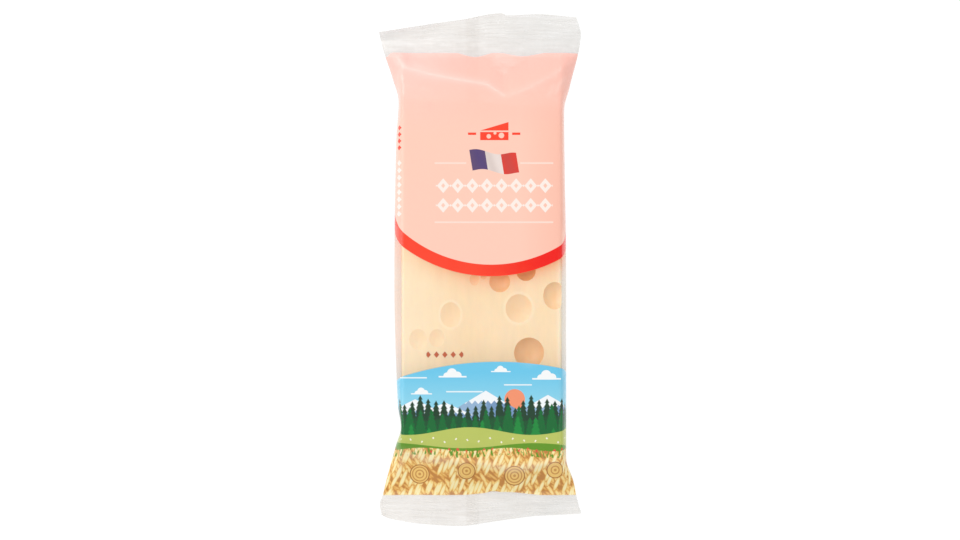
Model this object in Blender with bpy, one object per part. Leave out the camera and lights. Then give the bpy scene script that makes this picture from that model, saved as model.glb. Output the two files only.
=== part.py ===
"""A slab of holed cheese sealed in a printed film sleeve, lying on its back with the printed front up.

The sleeve is one tube of film with a crimped seal across each end, and it hugs the slab that fills it, so the pack
is one closed solid. Rings of points run round the tube, one at each station along it, and a skin joins them.
Metres, +Z up, and +Y towards the head of the print. The origin is on the table, under the middle of the pack.
"""

import math

import bmesh
import bpy

# The slab of cheese, whose ends are cut a little askew, as (x, y) at their left and right corners
SLAB_LEFT = -0.0370
SLAB_RIGHT = 0.0380
SLAB_THICKNESS = 0.0200
SLAB_HEAD = ((SLAB_LEFT, 0.0800), (SLAB_RIGHT, 0.0760))
SLAB_FOOT = ((SLAB_LEFT, -0.0775), (SLAB_RIGHT, -0.0860))

# The film tube
FILM_SLACK = 0.0003
PACK_HEIGHT = SLAB_THICKNESS + FILM_SLACK
SEAL_HEIGHT = PACK_HEIGHT / 2
SEAL_THICKNESS = 0.0006
SEAL_ROOT = 0.1075
SEAL_HALF_WIDTH = 0.0470

# The pack's outline from above, as (y, x) from foot to head: corner, seal, flare, pinch, belly and back again
LEFT_OUTLINE = (
    (-0.1175, -0.0464),
    (-0.1125, -0.0473),
    (-0.1035, -0.0454),
    (-0.0820, -0.0396),
    (-0.0740, -0.0372),
    (-0.0640, -0.0389),
    (-0.0050, -0.0406),
    (0.0600, -0.0397),
    (0.0790, -0.0385),
    (0.0890, -0.0411),
    (0.1075, -0.0468),
    (0.1130, -0.0475),
)
RIGHT_OUTLINE = (
    (-0.1140, 0.0472),
    (-0.1105, 0.0461),
    (-0.1000, 0.0440),
    (-0.0885, 0.0404),
    (-0.0050, 0.0404),
    (0.0750, 0.0394),
    (0.0860, 0.0421),
    (0.1110, 0.0473),
    (0.1190, 0.0455),
)

# The cut edge of each seal from above, as (x, y): the head's is stepped at the back seam, and the foot's is bowed
HEAD_EDGE = (
    (-0.0475, 0.1112),
    (-0.0300, 0.1144),
    (-0.0080, 0.1178),
    (0.0102, 0.1207),
    (0.0125, 0.1197),
    (0.0270, 0.1203),
    (0.0455, 0.1189),
)
FOOT_EDGE = (
    (-0.0475, -0.1146),
    (-0.0430, -0.1168),
    (-0.0280, -0.1195),
    (-0.0100, -0.1207),
    (0.0090, -0.1182),
    (0.0270, -0.1159),
    (0.0472, -0.1148),
)

# The fold where the front film leaves the slab's level and slopes down to each seal, as (x, y)
HEAD_FOLD = (
    (-0.0370, 0.1000),
    (-0.0330, 0.0945),
    (0.0045, 0.0858),
    (0.0120, 0.0804),
    (0.0350, 0.0915),
    (0.0380, 0.0960),
)
FOOT_FOLD = (
    (-0.0370, -0.0790),
    (-0.0100, -0.0905),
    (0.0200, -0.0925),
    (0.0380, -0.0895),
)
OVERHANG_DROP = 0.12
SLOPE_EASE = 1.4

# How the seals wave: the lift of the left and right corners at the cut edge, and the puckers beside the seals
HEAD_CURL = (0.0060, -0.0015)
FOOT_CURL = (0.0035, 0.0020)
PUCKER_PITCH = 0.0265
PUCKER_CREST = 0.0075
PUCKER_LIFT = 0.0008
PUCKER_LINE = 0.1040
PUCKER_REACH = 0.0160

# A ring's station counts stages along the pack: 1 at the slab's end, 2 at the root of the seal, and 3 at its cut
# edge, with a minus sign towards the foot
SLAB_END, ROOT, EDGE = 1, 2, 3

# How finely the skin is divided
PANEL_STEPS = 28
SIDE_STEPS = 5
SLAB_RINGS = 14
SLOPE_RINGS = 12
SEAL_RINGS = 4
CREASE_ANGLE = math.radians(30)

# The print: its inks, and the fields they fill from foot to head, each with the place along the pack where it ends
INKS = {
    "clear_film": (0.86, 0.85, 0.82),
    "gold_ink": (0.80, 0.48, 0.15),
    "green_ink": (0.22, 0.42, 0.08),
    "blue_ink": (0.25, 0.65, 0.85),
    "cheese_under_film": (0.94, 0.75, 0.50),
    "red_ink": (0.95, 0.07, 0.03),
    "pink_ink": (1.00, 0.63, 0.52),
}
FIELDS = (
    (-0.1057, "clear_film"),
    (-0.0890, "gold_ink"),
    (-0.0600, "green_ink"),
    (-0.0430, "blue_ink"),
    (0.0020, "cheese_under_film"),
    (0.0080, "red_ink"),
    (0.1015, "pink_ink"),
    (0.1300, "clear_film"),
)
FILM_ROUGHNESS = 0.18


def clear_scene():
    for thing in list(bpy.data.objects):
        bpy.data.objects.remove(thing)


def mix(start, end, share):
    return start + (end - start) * share


def straight_through(points, at):
    """The value at a position on straight runs through (position, value) points, level past both ends."""
    if at <= points[0][0]:
        return points[0][1]
    for (start, low), (end, high) in zip(points, points[1:]):
        if at <= end:
            return mix(low, high, (at - start) / (end - start))
    return points[-1][1]


def curve_through(points, at):
    """The same on a smooth curve that never swings past its points."""
    if not points[0][0] < at < points[-1][0]:
        return straight_through(points, at)
    slopes = [(b[1] - a[1]) / (b[0] - a[0]) for a, b in zip(points, points[1:])]
    span = next(i for i, point in enumerate(points[1:]) if at <= point[0])

    def tangent(i):
        if i in (0, len(slopes)):
            return slopes[min(i, len(slopes) - 1)]
        before, after = slopes[i - 1], slopes[i]
        return 2 * before * after / (before + after) if before * after > 0 else 0.0

    (start, low), (end, high) = points[span], points[span + 1]
    t = (at - start) / (end - start)
    bend = t * (1 - t) ** 2 * tangent(span) - t * t * (1 - t) * tangent(span + 1)
    return mix(low, high, t * t * (3 - 2 * t)) + (end - start) * bend


def along(station, x):
    """How far along the pack a station lies at this x, as the slab's ends and the cut edges slant and bend."""
    stages = (
        (-EDGE, curve_through(FOOT_EDGE, x)),
        (-ROOT, -SEAL_ROOT),
        (-SLAB_END, straight_through(SLAB_FOOT, x)),
        (SLAB_END, straight_through(SLAB_HEAD, x)),
        (ROOT, SEAL_ROOT),
        (EDGE, curve_through(HEAD_EDGE, x)),
    )
    return straight_through(stages, station)


def slope_share(y, start):
    """0 up to the start of a slope, and 1 from the root of the seal."""
    return min(1.0, max(0.0, (abs(y) - abs(start)) / (SEAL_ROOT - abs(start))))


def front_height(x, y):
    """The front film: level on the slab, a little lower past it, then down to the seal from the fold."""
    fold = straight_through(HEAD_FOLD if y > 0 else FOOT_FOLD, x)
    slab_end = straight_through(SLAB_HEAD if y > 0 else SLAB_FOOT, x)
    overhang = max(0.0, min(abs(y), abs(fold)) - abs(slab_end))
    level = PACK_HEIGHT - OVERHANG_DROP * overhang
    fall = 1 - (1 - slope_share(y, fold)) ** SLOPE_EASE
    return mix(level, SEAL_HEIGHT + SEAL_THICKNESS / 2, fall)


def back_height(x, y):
    """The back film: flat under the slab, then up to the seal."""
    slab_end = straight_through(SLAB_HEAD if y > 0 else SLAB_FOOT, x)
    rise = 1 - (1 - slope_share(y, slab_end)) ** SLOPE_EASE
    return mix(0.0, SEAL_HEIGHT - SEAL_THICKNESS / 2, rise)


def wave(x, y, station):
    """How far the curl of the seal's corners and its puckers lift the film."""
    left, right = HEAD_CURL if y > 0 else FOOT_CURL
    curl = (left if x < 0 else right) * (x / SEAL_HALF_WIDTH * max(0.0, abs(station) - ROOT)) ** 2
    nearness = max(0.0, 1 - ((abs(y) - PUCKER_LINE) / PUCKER_REACH) ** 2) ** 2
    pucker = PUCKER_LIFT * nearness * math.cos(math.tau * (x - PUCKER_CREST) / PUCKER_PITCH)
    return curl + pucker


def ring(station):
    """The points round the tube at a station, from the left side fold over the front and back under the slab."""
    folds = {
        SLAB_LEFT: curve_through(LEFT_OUTLINE, along(station, SLAB_LEFT)),
        SLAB_RIGHT: curve_through(RIGHT_OUTLINE, along(station, SLAB_RIGHT)),
    }

    def side(corner, height):
        """Points down a bowed side, from the slab's corner to the side fold, without the fold itself."""
        level = height(corner, along(station, corner))
        for step in range(SIDE_STEPS):
            drop = step / SIDE_STEPS
            x = mix(corner, folds[corner], 1 - (1 - drop) ** 2)
            yield x, mix(level, SEAL_HEIGHT, drop)

    def panel(height):
        for step in range(1, PANEL_STEPS):
            x = mix(SLAB_LEFT, SLAB_RIGHT, step / PANEL_STEPS)
            yield x, height(x, along(station, x))

    def sheet(height):
        """The front or back of the tube from left to right, without the side folds."""
        return [*reversed(list(side(SLAB_LEFT, height))), *panel(height), *side(SLAB_RIGHT, height)]

    front, back = sheet(front_height), sheet(back_height)
    left_fold, right_fold = ((x, SEAL_HEIGHT) for x in folds.values())
    for x, z in (left_fold, *front, right_fold, *reversed(back)):
        y = along(station, x)
        yield x, y, z + wave(x, y, station)


def stations():
    """The rings' stations, from the foot's cut edge to the head's."""
    stages = (-EDGE, -ROOT, -SLAB_END, SLAB_END, ROOT, EDGE)
    counts = (SEAL_RINGS, SLOPE_RINGS, SLAB_RINGS, SLOPE_RINGS, SEAL_RINGS)
    runs = zip(stages, stages[1:], counts)
    return [*(mix(start, end, i / count) for start, end, count in runs for i in range(count)), EDGE]


def film_material(ink):
    material = bpy.data.materials.new(ink)
    material.use_nodes = True
    shader = material.node_tree.nodes["Principled BSDF"]
    shader.inputs["Base Color"].default_value = (*INKS[ink], 1.0)
    shader.inputs["Roughness"].default_value = FILM_ROUGHNESS
    shader.inputs["Metallic"].default_value = 0.0
    material.diffuse_color = (*INKS[ink], 1.0)
    return material


def ink_at(y):
    """The number of the ink that is printed at this place along the pack."""
    ink = next(name for end, name in FIELDS if y <= end)
    return list(INKS).index(ink)


def close_end(bm, points):
    """Closes a seal's cut edge with faces from its front film to its back film."""
    count = len(points)
    for i in range(count // 2):
        corners = [points[i], points[i + 1], points[(count - i - 1) % count], points[(count - i) % count]]
        bm.faces.new(dict.fromkeys(corners))


def build_pack():
    """The sealed pack: a skin between neighbouring rings, with both cut edges closed."""
    bm = bmesh.new()
    rings = [[bm.verts.new(point) for point in ring(station)] for station in stations()]
    for near, far in zip(rings, rings[1:]):
        ink = ink_at((near[0].co.y + far[0].co.y) / 2)
        for i in range(len(near)):
            after = (i + 1) % len(near)
            face = bm.faces.new((near[i], far[i], far[after], near[after]))
            face.material_index = ink
    close_end(bm, rings[0])
    close_end(bm, rings[-1])
    bmesh.ops.recalc_face_normals(bm, faces=bm.faces)

    mesh = bpy.data.meshes.new("cheese_pack")
    bm.to_mesh(mesh)
    bm.free()
    for ink in INKS:
        mesh.materials.append(film_material(ink))
    mesh.shade_smooth()
    mesh.set_sharp_from_angle(angle=CREASE_ANGLE)
    pack = bpy.data.objects.new("cheese_pack", mesh)
    bpy.context.scene.collection.objects.link(pack)


clear_scene()
build_pack()
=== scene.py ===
"""The looks of a sealed pack of holed cheese: the slab, the clear printed film round it and its seals.

Metres, in the pack's own frame: +X across the pack, +Y towards the head of the print, and +Z up, out of
its front. The print's sizes are in millimetres, on the film as it would lie flat: s across it from the
middle of the slab, and v along it. Colours are written as a screen shows them, from 0 to 255.
"""

import math

import bmesh
import bpy
import numpy as np
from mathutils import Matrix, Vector


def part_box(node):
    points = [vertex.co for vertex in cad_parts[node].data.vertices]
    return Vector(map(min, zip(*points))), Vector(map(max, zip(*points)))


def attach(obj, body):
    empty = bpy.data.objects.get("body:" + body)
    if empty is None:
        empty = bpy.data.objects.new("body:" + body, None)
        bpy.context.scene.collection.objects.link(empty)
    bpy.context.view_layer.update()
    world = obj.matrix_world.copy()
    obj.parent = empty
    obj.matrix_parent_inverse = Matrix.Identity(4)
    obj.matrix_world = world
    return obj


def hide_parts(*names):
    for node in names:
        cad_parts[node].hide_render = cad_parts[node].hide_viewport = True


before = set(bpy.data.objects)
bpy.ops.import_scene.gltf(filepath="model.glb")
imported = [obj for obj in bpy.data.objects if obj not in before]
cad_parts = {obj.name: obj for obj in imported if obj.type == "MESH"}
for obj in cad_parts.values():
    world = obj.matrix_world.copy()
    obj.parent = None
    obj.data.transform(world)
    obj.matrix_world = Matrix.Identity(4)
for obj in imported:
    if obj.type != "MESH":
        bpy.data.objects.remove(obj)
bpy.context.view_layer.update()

MM = 0.001

# The slab of cheese, with its slanting ends as (x, y) at their left and right corners
SLAB_LEFT = -0.0370
SLAB_RIGHT = 0.0380
SLAB_HEAD = ((SLAB_LEFT, 0.0800), (SLAB_RIGHT, 0.0760))
SLAB_FOOT = ((SLAB_LEFT, -0.0775), (SLAB_RIGHT, -0.0860))
SLAB_MIDDLE = (SLAB_LEFT + SLAB_RIGHT) / 2
SLAB_HALF = (SLAB_RIGHT - SLAB_LEFT) / 2
CHEESE_BASE = 0.00030
CHEESE_TOP = 0.02012
CHEESE_EDGE = 0.0016
CHEESE_ROUNDING = 8

# The film tube, from the same points as the solid pack
PACK_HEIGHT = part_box("cheese_pack")[1].z
SEAL_HEIGHT = PACK_HEIGHT / 2
SEAL_ROOT = 0.1075
SEAL_LENGTH = 0.0115
SEAL_HALF_WIDTH = 0.0470
SEAL_GAP = 0.00012
FILM_BASE = 0.00016
LEFT_OUTLINE = (
    (-0.1175, -0.0464),
    (-0.1125, -0.0473),
    (-0.1035, -0.0454),
    (-0.0820, -0.0396),
    (-0.0740, -0.0372),
    (-0.0640, -0.0389),
    (-0.0050, -0.0406),
    (0.0600, -0.0397),
    (0.0790, -0.0385),
    (0.0890, -0.0411),
    (0.1075, -0.0468),
    (0.1130, -0.0475),
)
RIGHT_OUTLINE = (
    (-0.1140, 0.0472),
    (-0.1105, 0.0461),
    (-0.1000, 0.0440),
    (-0.0885, 0.0404),
    (-0.0050, 0.0404),
    (0.0750, 0.0394),
    (0.0860, 0.0421),
    (0.1110, 0.0473),
    (0.1190, 0.0455),
)
HEAD_EDGE = (
    (-0.0475, 0.1112),
    (-0.0300, 0.1144),
    (-0.0080, 0.1178),
    (0.0102, 0.1207),
    (0.0125, 0.1197),
    (0.0270, 0.1203),
    (0.0455, 0.1189),
)
FOOT_EDGE = (
    (-0.0475, -0.1146),
    (-0.0430, -0.1168),
    (-0.0280, -0.1195),
    (-0.0100, -0.1207),
    (0.0090, -0.1182),
    (0.0270, -0.1159),
    (0.0472, -0.1148),
)
HEAD_FOLD = (
    (-0.0370, 0.1000),
    (-0.0330, 0.0945),
    (0.0045, 0.0858),
    (0.0120, 0.0804),
    (0.0350, 0.0915),
    (0.0380, 0.0960),
)
FOOT_FOLD = (
    (-0.0370, -0.0790),
    (-0.0100, -0.0905),
    (0.0200, -0.0925),
    (0.0380, -0.0895),
)
OVERHANG_DROP = 0.12
SLOPE_EASE = 1.4
HEAD_CURL = (0.0060, -0.0015)
FOOT_CURL = (0.0035, 0.0020)
PUCKER_PITCH = 0.0265
PUCKER_CREST = 0.0075
PUCKER_LIFT = 0.0008
PUCKER_LINE = 0.1040
PUCKER_REACH = 0.0160

# Stations count stages along the pack: 1 at the slab's end, 2 at the root of the seal and 3 at its cut
# edge, with a minus sign towards the foot
SLAB_END, ROOT, EDGE = 1, 2, 3
STAGES = (-EDGE, -ROOT, -SLAB_END, SLAB_END, ROOT, EDGE)

# Flat sizes of the film: half of a side, and where the flap of the back seam lies
SIDE_HALF = 0.0105
SEAM_FLAP = (-0.0068, -0.0008)
FLAP_THICKNESS = 0.00006
FLAP_DROP = FLAP_THICKNESS * 0.7  # how far its upper side lies below the film
FLAP_COLUMNS = 9
FLAP_ORIGIN = 0.1070  # where X = 0 lies on the flap's own stretch of the flat map, past the film's

# The crimps of the seals
CRIMP_PITCH = 0.00135
CRIMP_HEIGHT = 0.00013
CRIMP_DRIFT = 0.9
CRIMP_STRENGTH = (0.45, 0.9)  # on average, and how much it varies

# The slack film past the slab: where it starts and ends, how soon it is full, and its waves, each as its
# height, length and seed
SLACK_START = 0.078
SLACK_END = 0.1165
SLACK_EASE = 0.012
SLACK_WAVES = ((0.00035, 0.020, 11), (0.00012, 0.006, 12))

# The creases of the front film, each as (x, y) points, how high its ridge stands and how far its foot spreads
CREASES = (
    (
        ((-0.0400, 0.1010), (-0.0354, 0.0947), (-0.0227, 0.0907), (0.0030, 0.0868), (0.0115, 0.0813)),
        0.00050,
        0.0013,
    ),
    (((-0.0400, 0.0990), (-0.0330, 0.0952), (-0.0240, 0.0925), (-0.0150, 0.0905)), 0.00032, 0.0018),
    (((0.0115, 0.0813), (0.0185, 0.0832), (0.0302, 0.0888), (0.0390, 0.0940)), 0.00020, 0.0010),
    (((0.0345, 0.0812), (0.0365, 0.0850), (0.0400, 0.0905)), 0.00030, 0.0007),
    (((0.0310, 0.0800), (0.0330, 0.0828), (0.0345, 0.0870)), 0.00022, 0.0007),
    (((-0.0370, 0.0960), (-0.0388, 0.0880), (-0.0372, 0.0800)), 0.00025, 0.0008),
    (((-0.0380, -0.0850), (-0.0250, -0.0890), (-0.0040, -0.0895)), 0.00030, 0.0012),
    (((-0.0040, -0.0895), (0.0150, -0.0935), (0.0370, -0.0895)), 0.00030, 0.0012),
    (((-0.0400, -0.0990), (-0.0370, -0.0900), (-0.0380, -0.0830)), 0.00025, 0.0008),
)

# The pale line along each crease is a painted highlight.
FULL_HIGHLIGHT_RIDGE = 0.0005  # the height of a ridge whose film is fully pale
HIGHLIGHT_SPREAD = 1.6  # how much wider than the ridge the pale line is

# How finely the film is divided: its columns from fold to fold across the front, and on the back from
# each fold to the seam
FRONT_COLUMNS = 102
RIGHT_COLUMNS = 56
LEFT_COLUMNS = FRONT_COLUMNS - RIGHT_COLUMNS
ROUGH_ROWS = (20, 46, 250, 46, 20)
FINE_ROWS = (66, 36, 76, 36, 66)
FOLD_SOFTNESS = 1.3
SHARP_FROM = 0.15  # how far into a seal, of its length, the film stops being softened
CREASED_SIDE = 0.8  # how far down half of its side the film is creased

# The camera: the photograph's scale, and how far above the pack it is
PIXELS_PER_METRE = 2133.0
PIXELS_WIDE = 960
CAMERA_HEIGHT = 1.2
SCALE_HEIGHT = 0.015  # how far above the pack's base that scale holds
SENSOR = 0.036
FRAME_CENTRE = (-0.0002, -0.0002)


def mix(start, end, share):
    return start + (end - start) * share


def straight_through(points, at):
    """Values on straight runs through (position, value) points, level past both ends."""
    places, values = np.array(points).T
    return np.interp(at, places, values)


def curve_through(points, at):
    """The same on a smooth curve that never swings past its points."""
    places, values = np.array(points).T
    steps = np.diff(places)
    slopes = np.diff(values) / steps
    before, after = slopes[:-1], slopes[1:]
    same_way = before * after > 0
    inner = np.where(same_way, 2 * before * after / np.where(same_way, before + after, 1), 0)
    tangents = np.concatenate([slopes[:1], inner, slopes[-1:]])
    at = np.clip(at, places[0], places[-1])
    span = np.clip(np.searchsorted(places, at) - 1, 0, len(steps) - 1)
    t = (at - places[span]) / steps[span]
    bend = t * (1 - t) ** 2 * tangents[span] - t * t * (1 - t) * tangents[span + 1]
    return mix(values[span], values[span + 1], t * t * (3 - 2 * t)) + steps[span] * bend


def along(station, x):
    """How far along the pack a station lies at this x."""
    places = (
        curve_through(FOOT_EDGE, x),
        -SEAL_ROOT,
        straight_through(SLAB_FOOT, x),
        straight_through(SLAB_HEAD, x),
        SEAL_ROOT,
        curve_through(HEAD_EDGE, x),
    )
    found = places[0]
    for start, end, low, high in zip(STAGES, STAGES[1:], places, places[1:]):
        found = found + (high - low) * np.clip((station - start) / (end - start), 0, 1)
    return found


def at_ends(head_points, foot_points, x, y):
    return np.where(y > 0, straight_through(head_points, x), straight_through(foot_points, x))


def slope_share(y, start):
    """0 up to the start of a slope, and 1 from the root of the seal."""
    return np.clip((np.abs(y) - np.abs(start)) / (SEAL_ROOT - np.abs(start)), 0, 1)


def front_height(x, y):
    """The front film: level on the slab, a little lower past it, then down to the seal from the fold."""
    fold = at_ends(HEAD_FOLD, FOOT_FOLD, x, y)
    slab_end = at_ends(SLAB_HEAD, SLAB_FOOT, x, y)
    overhang = np.maximum(0, np.minimum(np.abs(y), np.abs(fold)) - np.abs(slab_end))
    fall = 1 - (1 - slope_share(y, fold)) ** SLOPE_EASE
    return mix(PACK_HEIGHT - OVERHANG_DROP * overhang, SEAL_HEIGHT + SEAL_GAP / 2, fall)


def back_height(x, y):
    """The back film: flat under the slab, then up to the seal."""
    rise = 1 - (1 - slope_share(y, at_ends(SLAB_HEAD, SLAB_FOOT, x, y))) ** SLOPE_EASE
    return mix(FILM_BASE, SEAL_HEIGHT - SEAL_GAP / 2, rise)


def wave(x, y, station):
    """How far the curl of the seal's corners and its puckers lift the film."""
    curl = np.select(
        [(y > 0) & (x < 0), y > 0, x < 0], [HEAD_CURL[0], HEAD_CURL[1], FOOT_CURL[0]], FOOT_CURL[1]
    )
    curled = curl * (x / SEAL_HALF_WIDTH * np.maximum(0, np.abs(station) - ROOT)) ** 2
    nearness = np.maximum(0, 1 - ((np.abs(y) - PUCKER_LINE) / PUCKER_REACH) ** 2) ** 2
    return curled + PUCKER_LIFT * nearness * np.cos(math.tau * (x - PUCKER_CREST) / PUCKER_PITCH)


def film_skin(around, station):
    """The film's points, at flat distances around the tube from the middle of the front, and at stations."""
    hand = np.sign(around)
    corner = np.where(around > 0, SLAB_RIGHT, SLAB_LEFT)
    beyond = np.abs(around) - SLAB_HALF
    past_fold = beyond > SIDE_HALF
    down = np.clip(np.where(past_fold, 2 * SIDE_HALF - beyond, beyond) / SIDE_HALF, 0, 1)
    fold = np.where(
        around > 0,
        curve_through(RIGHT_OUTLINE, along(station, SLAB_RIGHT)),
        curve_through(LEFT_OUTLINE, along(station, SLAB_LEFT)),
    )
    side_x = mix(corner, fold, 1 - (1 - down) ** 2)
    back_x = corner - hand * (beyond - 2 * SIDE_HALF)
    x = np.select([beyond < 0, beyond < 2 * SIDE_HALF], [SLAB_MIDDLE + around, side_x], back_x)
    panel_x = np.clip(x, SLAB_LEFT, SLAB_RIGHT)
    panel_y = along(station, panel_x)
    level = np.where(past_fold, back_height(panel_x, panel_y), front_height(panel_x, panel_y))
    y = along(station, x)
    z = mix(level, SEAL_HEIGHT, down) + wave(x, y, station)
    return np.stack(np.broadcast_arrays(x, y, z), axis=-1)


def rows(counts):
    """Stations from the foot's cut edge to the head's, with this many steps in each stage."""
    runs = [
        np.linspace(start, end, count, endpoint=False)
        for start, end, count in zip(STAGES, STAGES[1:], counts)
    ]
    return np.concatenate([*runs, [EDGE]])


def softened(points, softness, wraps):
    """Points smoothed along their first axis, which may close on itself."""
    reach = math.ceil(3 * softness)
    weights = np.exp(-0.5 * (np.arange(-reach, reach + 1) / softness) ** 2)
    weights /= weights.sum()
    widths = ((reach, reach), (0, 0), (0, 0))
    ends = {"mode": "wrap"} if wraps else {"mode": "reflect", "reflect_type": "odd"}
    padded = np.pad(points, widths, **ends)
    return sum(w * padded[i : i + len(points)] for i, w in enumerate(weights))


def ripple(x, y, length, seed):
    """A gentle uneven wave over x and y, from -1 to 1, of about this wavelength."""
    draw = np.random.default_rng(seed)
    total = 0
    count = 5
    for _ in range(count):
        turn, phase = draw.uniform(0, math.tau, 2)
        pitch = length * draw.uniform(0.7, 1.5)
        total = total + np.sin(math.tau * (x * math.cos(turn) + y * math.sin(turn)) / pitch + phase)
    return total / count


def crimp(x, station):
    """The ridges pressed across a seal, from -1 to 1, faint in some places and strong in others."""
    inwards = np.maximum(0, np.abs(station) - ROOT) * SEAL_LENGTH
    ramp = np.clip(inwards / CRIMP_PITCH, 0, 1)
    average, change = CRIMP_STRENGTH
    strength = np.clip(average + change * ripple(x, inwards * 2 + station, 0.030, 5), 0.05, 1)
    drift = CRIMP_DRIFT * ripple(x, station, 0.045, 6)
    return ramp * strength * np.sin(math.tau * (inwards / CRIMP_PITCH + drift))


def slack(x, y):
    """The uneven slack of the film between the slab and the seals."""
    from_slab = np.clip((np.abs(y) - SLACK_START) / SLACK_EASE, 0, 1)
    to_edge = np.clip((SLACK_END - np.abs(y)) / SLACK_EASE, 0, 1)
    waves = sum(height * ripple(x, y, length, seed) for height, length, seed in SLACK_WAVES)
    return from_slab * to_edge * waves


def creases(x, y):
    """Soft ridges where the front film is bent, highest at the middle of each, and the painted highlight
    along them.
    """
    lift, painted_highlight = 0, 0
    for points, height, spread in CREASES:
        nearest, share = np.full(x.shape, np.inf), np.zeros(x.shape)
        runs = len(points) - 1
        for run, (start, end) in enumerate(zip(points, points[1:])):
            start, end = np.array(start), np.array(end)
            way = end - start
            reached = np.clip(((x - start[0]) * way[0] + (y - start[1]) * way[1]) / (way @ way), 0, 1)
            away = np.hypot(x - start[0] - way[0] * reached, y - start[1] - way[1] * reached)
            share = np.where(away < nearest, (run + reached) / runs, share)
            nearest = np.minimum(away, nearest)
        ends = np.sqrt(np.clip(4 * share * (1 - share), 0, 1))
        lift = np.maximum(lift, height * ends * np.exp(-((nearest / spread) ** 2)))
        line = height / FULL_HIGHLIGHT_RIDGE * ends * np.exp(-((nearest / (HIGHLIGHT_SPREAD * spread)) ** 2))
        painted_highlight = np.maximum(painted_highlight, line)
    return lift, painted_highlight


def film_grid():
    """The film's points as rows of columns, each column's flat distance around, and marks on the points."""
    count = 2 * FRONT_COLUMNS
    fold_to_fold = 2 * (SLAB_HALF + SIDE_HALF)
    around = (np.arange(count + 1) - LEFT_COLUMNS) * fold_to_fold / FRONT_COLUMNS - fold_to_fold / 2
    rough = rows(ROUGH_ROWS)
    sharp = film_skin(around[None, :-1], rough[:, None])
    soft = softened(sharp, FOLD_SOFTNESS, wraps=False)
    soft = softened(soft.swapaxes(0, 1), FOLD_SOFTNESS, wraps=True).swapaxes(0, 1)
    in_seal = np.clip((np.abs(rough) - ROOT) / SHARP_FROM, 0, 1)[:, None, None]
    points = mix(soft, sharp, in_seal)
    fine = rows(FINE_ROWS)
    points = np.stack(
        [
            np.stack([np.interp(fine, rough, points[:, c, axis]) for c in range(count)], axis=1)
            for axis in range(3)
        ],
        axis=-1,
    )
    x, y = points[..., 0], points[..., 1]
    on_front = np.abs((around[:-1] + around[1:]) / 2) < SLAB_HALF + SIDE_HALF * CREASED_SIDE
    crimps = crimp(x, fine[:, None])
    # Each crease lifts the film and gets a painted highlight.
    lift, painted_highlight = creases(x, y)
    points[..., 2] += CRIMP_HEIGHT * crimps + slack(x, y) + lift * on_front
    return points, around, {"crimp": crimps, "crease_highlight": painted_highlight * on_front}


def mesh_object(name, vertices, faces, smooth=True):
    mesh = bpy.data.meshes.new(name)
    mesh.from_pydata(np.asarray(vertices).tolist(), [], faces)
    mesh.validate()
    if smooth:
        mesh.shade_smooth()
    piece = bpy.data.objects.new(name, mesh)
    bpy.context.scene.collection.objects.link(piece)
    return piece


def lay_flat_map(piece, flat):
    """Gives each face corner its place on the flat film, from one (s, v) for each in turn, in metres."""
    layer = piece.data.uv_layers.new(name="flat")
    layer.data.foreach_set("uv", np.asarray(flat, dtype=np.float32).ravel())


def build_film():
    """The sleeve: one skin round the tube, closed across both cut edges."""
    points, around, marks = film_grid()
    row_count, column_count = points.shape[:2]
    faces, corners = [], []
    for row in range(row_count - 1):
        for column in range(column_count):
            after = (column + 1) % column_count
            faces.append(
                (
                    row * column_count + column,
                    row * column_count + after,
                    (row + 1) * column_count + after,
                    (row + 1) * column_count + column,
                )
            )
            corners.extend([(row, column), (row, column + 1), (row + 1, column + 1), (row + 1, column)])
    folds = ((LEFT_COLUMNS, LEFT_COLUMNS, 1), (LEFT_COLUMNS + FRONT_COLUMNS, RIGHT_COLUMNS, -1))
    for row, step in ((0, 1), (row_count - 1, -1)):
        for fold, reach, hand in folds:
            for i in range(reach):
                front = (fold + hand * i, fold + hand * (i + 1))
                back = (fold - hand * (i + 1), fold - hand * i)
                loop = list(dict.fromkeys((*front, *back)))[:: step * hand]
                faces.append([row * column_count + column % column_count for column in loop])
                corners.extend((row, column) for column in loop)
    cells = np.array(corners)
    flat = np.stack([around[cells[:, 1]], points[cells[:, 0], cells[:, 1] % column_count, 1]], axis=-1)
    film = mesh_object("film_sleeve", points.reshape(-1, 3), faces)
    lay_flat_map(film, flat)
    for name, values in marks.items():
        layer = film.data.attributes.new(name, "FLOAT", "POINT")
        layer.data.foreach_set("value", values.astype(np.float32).ravel())
    return film


def build_seam():
    """The back seam: the film's two margins sealed together into a flap that lies flat along the back."""
    fine = rows(FINE_ROWS)[:, None]
    left, right = SEAM_FLAP
    x = np.linspace(left, right, FLAP_COLUMNS)[None, :]
    y = along(fine, x)
    under = back_height(x, y) + wave(x, y, fine) + CRIMP_HEIGHT * crimp(x, fine) + slack(x, y)
    top = np.stack(np.broadcast_arrays(x, y, under - FLAP_DROP), axis=-1)
    bottom = top - np.array([0, 0, FLAP_THICKNESS])
    loop = np.concatenate([top, bottom[:, ::-1]], axis=1)
    row_count, column_count = loop.shape[:2]
    faces, flat = [], []
    places = np.stack([FLAP_ORIGIN - loop[..., 0], loop[..., 1]], axis=-1)
    for row in range(row_count - 1):
        for column in range(column_count):
            after = (column + 1) % column_count
            cells = ((row, column), (row, after), (row + 1, after), (row + 1, column))
            faces.append([r * column_count + c for r, c in cells])
            flat.extend(places[r, c] for r, c in cells)
    for row, turned in ((0, True), (row_count - 1, False)):
        half = column_count // 2
        for column in range(half - 1):
            opposite = column_count - 1 - column
            cells = [(row, column), (row, column + 1), (row, opposite - 1), (row, opposite)]
            cells = cells[::-1] if turned else cells
            faces.append([r * column_count + c for r, c in cells])
            flat.extend(places[r, c] for r, c in cells)
    seam = mesh_object("back_seam", loop.reshape(-1, 3), faces)
    lay_flat_map(seam, flat)
    return seam
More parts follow.
